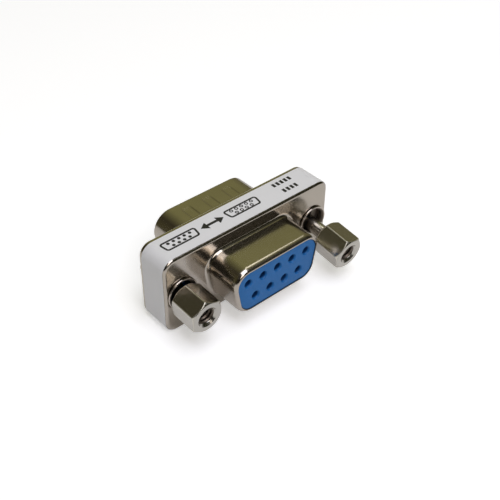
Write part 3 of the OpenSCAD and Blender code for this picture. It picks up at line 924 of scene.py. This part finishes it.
# %% [markdown]
# ## Floor, light and camera
#
# The background is a white floor. It is a matt surface that takes the object's shadow, with
# a glow that only some rays see: a weak one in mirrors, where the plates and the lower
# facets show it, and a stronger one for the camera, which makes the background white and
# grows far from the object, where the lamps no longer reach. So the white comes from the
# floor and not from more light on the object.
#
# Bright metal has little colour of its own, and shows what stands round it. The world is a
# dim olive room for mirrored rays, brighter on the right and dark behind the camera, and
# plain white for the camera. Three soft lamps light the object at a plain level: a large
# one overhead, a small one behind on the right for fine lines of light along the lips, and
# one beside the camera that makes the soft spot on the shroud's near corner.

# %% Floor
FLOOR_HALF = 3.0
floor = bpy.data.objects.new("floor", bpy.data.meshes.new("floor"))
floor.data.from_pydata([(-FLOOR_HALF, -FLOOR_HALF, 0), (FLOOR_HALF, -FLOOR_HALF, 0),
                        (FLOOR_HALF, FLOOR_HALF, 0), (-FLOOR_HALF, FLOOR_HALF, 0)], [], [(0, 1, 2, 3)])
bpy.context.scene.collection.objects.link(floor)
MIRRORED_GLOW = 0.13
NEAR_GLOW = 3.3
FAR_GLOW = 7.7
white_floor = bpy.data.materials.new("white_floor")
white_floor.use_nodes = True
tree = white_floor.node_tree
tree.nodes.clear()
rays = add(tree, "ShaderNodeLightPath")
where = add(tree, "ShaderNodeTexCoord")
away = add(tree, "ShaderNodeVectorMath", {0: where.outputs["Object"]}, operation="LENGTH")
far = add(tree, "ShaderNodeMapRange", {"Value": away.outputs["Value"], "From Min": 0.12, "From Max": 0.6,
                                       "To Min": NEAR_GLOW, "To Max": FAR_GLOW})
paper = add(tree, "ShaderNodeMath", {0: rays.outputs["Is Camera Ray"], 1: far.outputs["Result"]},
            operation="MULTIPLY")
seen = add(tree, "ShaderNodeMath", {0: paper.outputs[0], 1: rays.outputs["Is Glossy Ray"]},
           operation="MAXIMUM")
shown = add(tree, "ShaderNodeMath", {0: seen.outputs[0], 1: rays.outputs["Is Transmission Ray"]},
            operation="MAXIMUM")
lift = add(tree, "ShaderNodeMath", {0: shown.outputs[0], 1: MIRRORED_GLOW}, operation="MULTIPLY")
matt = add(tree, "ShaderNodeBsdfDiffuse", {"Color": linear("#F4F4F4")})
glow = add(tree, "ShaderNodeEmission", {"Color": linear("#FFFFFF"), "Strength": lift.outputs[0]})
both = add(tree, "ShaderNodeAddShader", {0: matt.outputs["BSDF"], 1: glow.outputs["Emission"]})
add(tree, "ShaderNodeOutputMaterial", {"Surface": both.outputs["Shader"]})
floor.data.materials.append(white_floor)

# %% Surroundings
world = bpy.data.worlds.new("studio")
bpy.context.scene.world = world
world.use_nodes = True
tree = world.node_tree
tree.nodes.clear()
where = add(tree, "ShaderNodeTexCoord")
parts = add(tree, "ShaderNodeSeparateXYZ", {"Vector": where.outputs["Generated"]})
across = add(tree, "ShaderNodeMapRange", {"Value": parts.outputs["X"], "From Min": -1.0, "From Max": 1.0})
walls = add(tree, "ShaderNodeValToRGB", {"Fac": across.outputs["Result"]})
stops = walls.color_ramp.elements
stops[0].position, stops[0].color = 0.1, linear("#5C583F")
stops[1].position, stops[1].color = 0.74, linear("#9C9B69")
for position, colour in ((0.3, "#443F30"), (0.92, "#7D785B")):
    stops.new(position).color = linear(colour)
towards_back = add(tree, "ShaderNodeMapRange",
                   {"Value": parts.outputs["Y"], "From Min": -0.35, "From Max": 0.25,
                    "To Min": 0.1, "To Max": 0.92}, interpolation_type="SMOOTHSTEP")
surroundings = add(tree, "ShaderNodeBackground", {"Color": walls.outputs["Color"],
                                                  "Strength": towards_back.outputs["Result"]})
rays = add(tree, "ShaderNodeLightPath")
white = add(tree, "ShaderNodeBackground", {"Color": linear("#FFFFFF")})
seen = add(tree, "ShaderNodeMixShader", {0: rays.outputs["Is Camera Ray"],
                                         1: surroundings.outputs["Background"],
                                         2: white.outputs["Background"]})
add(tree, "ShaderNodeOutputWorld", {"Surface": seen.outputs["Shader"]})


# %% Lamps
def soft_lamp(name, position, size, watts, colour, target=(0, 0, 0)):
    """An oblong lamp that faces its target. Lengths are in metres; size is width and depth."""
    lamp = bpy.data.lights.new(name, "AREA")
    lamp.shape = "RECTANGLE"
    lamp.size, lamp.size_y = size
    lamp.energy = watts
    lamp.color = linear(colour)[:3]
    obj = bpy.data.objects.new(name, lamp)
    obj.location = position
    obj.rotation_euler = (Vector(target) - Vector(position)).to_track_quat("-Z", "Y").to_euler()
    bpy.context.scene.collection.objects.link(obj)


soft_lamp("overhead_softbox", (0, -0.25, 0.6), (0.42, 0.66), 3.0, "#F3F4FF", target=(0, -0.25, 0))
soft_lamp("right_lamp", (0.225, 0.14, 0.425), (0.11, 0.11), 0.08, "#FFFDF6")
soft_lamp("camera_side_lamp", (-0.139, -0.38, 0.33), (0.22, 0.22), 0.4, "#FFF6EE")

# %% [markdown]
# ## Camera
#
# The camera stands where the photograph's stood. Its angles, distance and focal length
# come from fitting the connector's known sizes to the picture. The frame's middle isn't the
# lens axis, which the small shift of the sensor gives.

# %% Camera at the photograph's view
AZIMUTH, ELEVATION, ROLL = (math.radians(v) for v in (-41.947, 39.335, 0.796))
DISTANCE = 124.317
TARGET = Vector((0.324, -PLATE_Y, Z_MID + 1.969))
FOCAL_PX, PHOTO_PX = 863.23, 500
CENTRE_PX = (252.145, 242.966)
back = Vector((math.sin(AZIMUTH) * math.cos(ELEVATION), -math.cos(AZIMUTH) * math.cos(ELEVATION),
               math.sin(ELEVATION)))
flat_right = (-back).cross(Vector((0, 0, 1))).normalized()
flat_up = flat_right.cross(-back)
right = math.cos(ROLL) * flat_right + math.sin(ROLL) * flat_up
up = -math.sin(ROLL) * flat_right + math.cos(ROLL) * flat_up
camera = bpy.data.objects.new("camera", bpy.data.cameras.new("camera"))
camera.matrix_world = Matrix.Translation((TARGET + back * DISTANCE) * MM) @ Matrix(
    [(right[k], up[k], back[k], 0) for k in range(3)] + [(0, 0, 0, 1)])
camera.data.sensor_width = 36
camera.data.lens = FOCAL_PX / PHOTO_PX * camera.data.sensor_width
camera.data.shift_x = (PHOTO_PX / 2 - CENTRE_PX[0]) / PHOTO_PX
camera.data.shift_y = (CENTRE_PX[1] - PHOTO_PX / 2) / PHOTO_PX
camera.data.clip_start = 0.005
bpy.context.scene.collection.objects.link(camera)
bpy.context.scene.camera = camera
bpy.context.scene.view_settings.view_transform = "Standard"
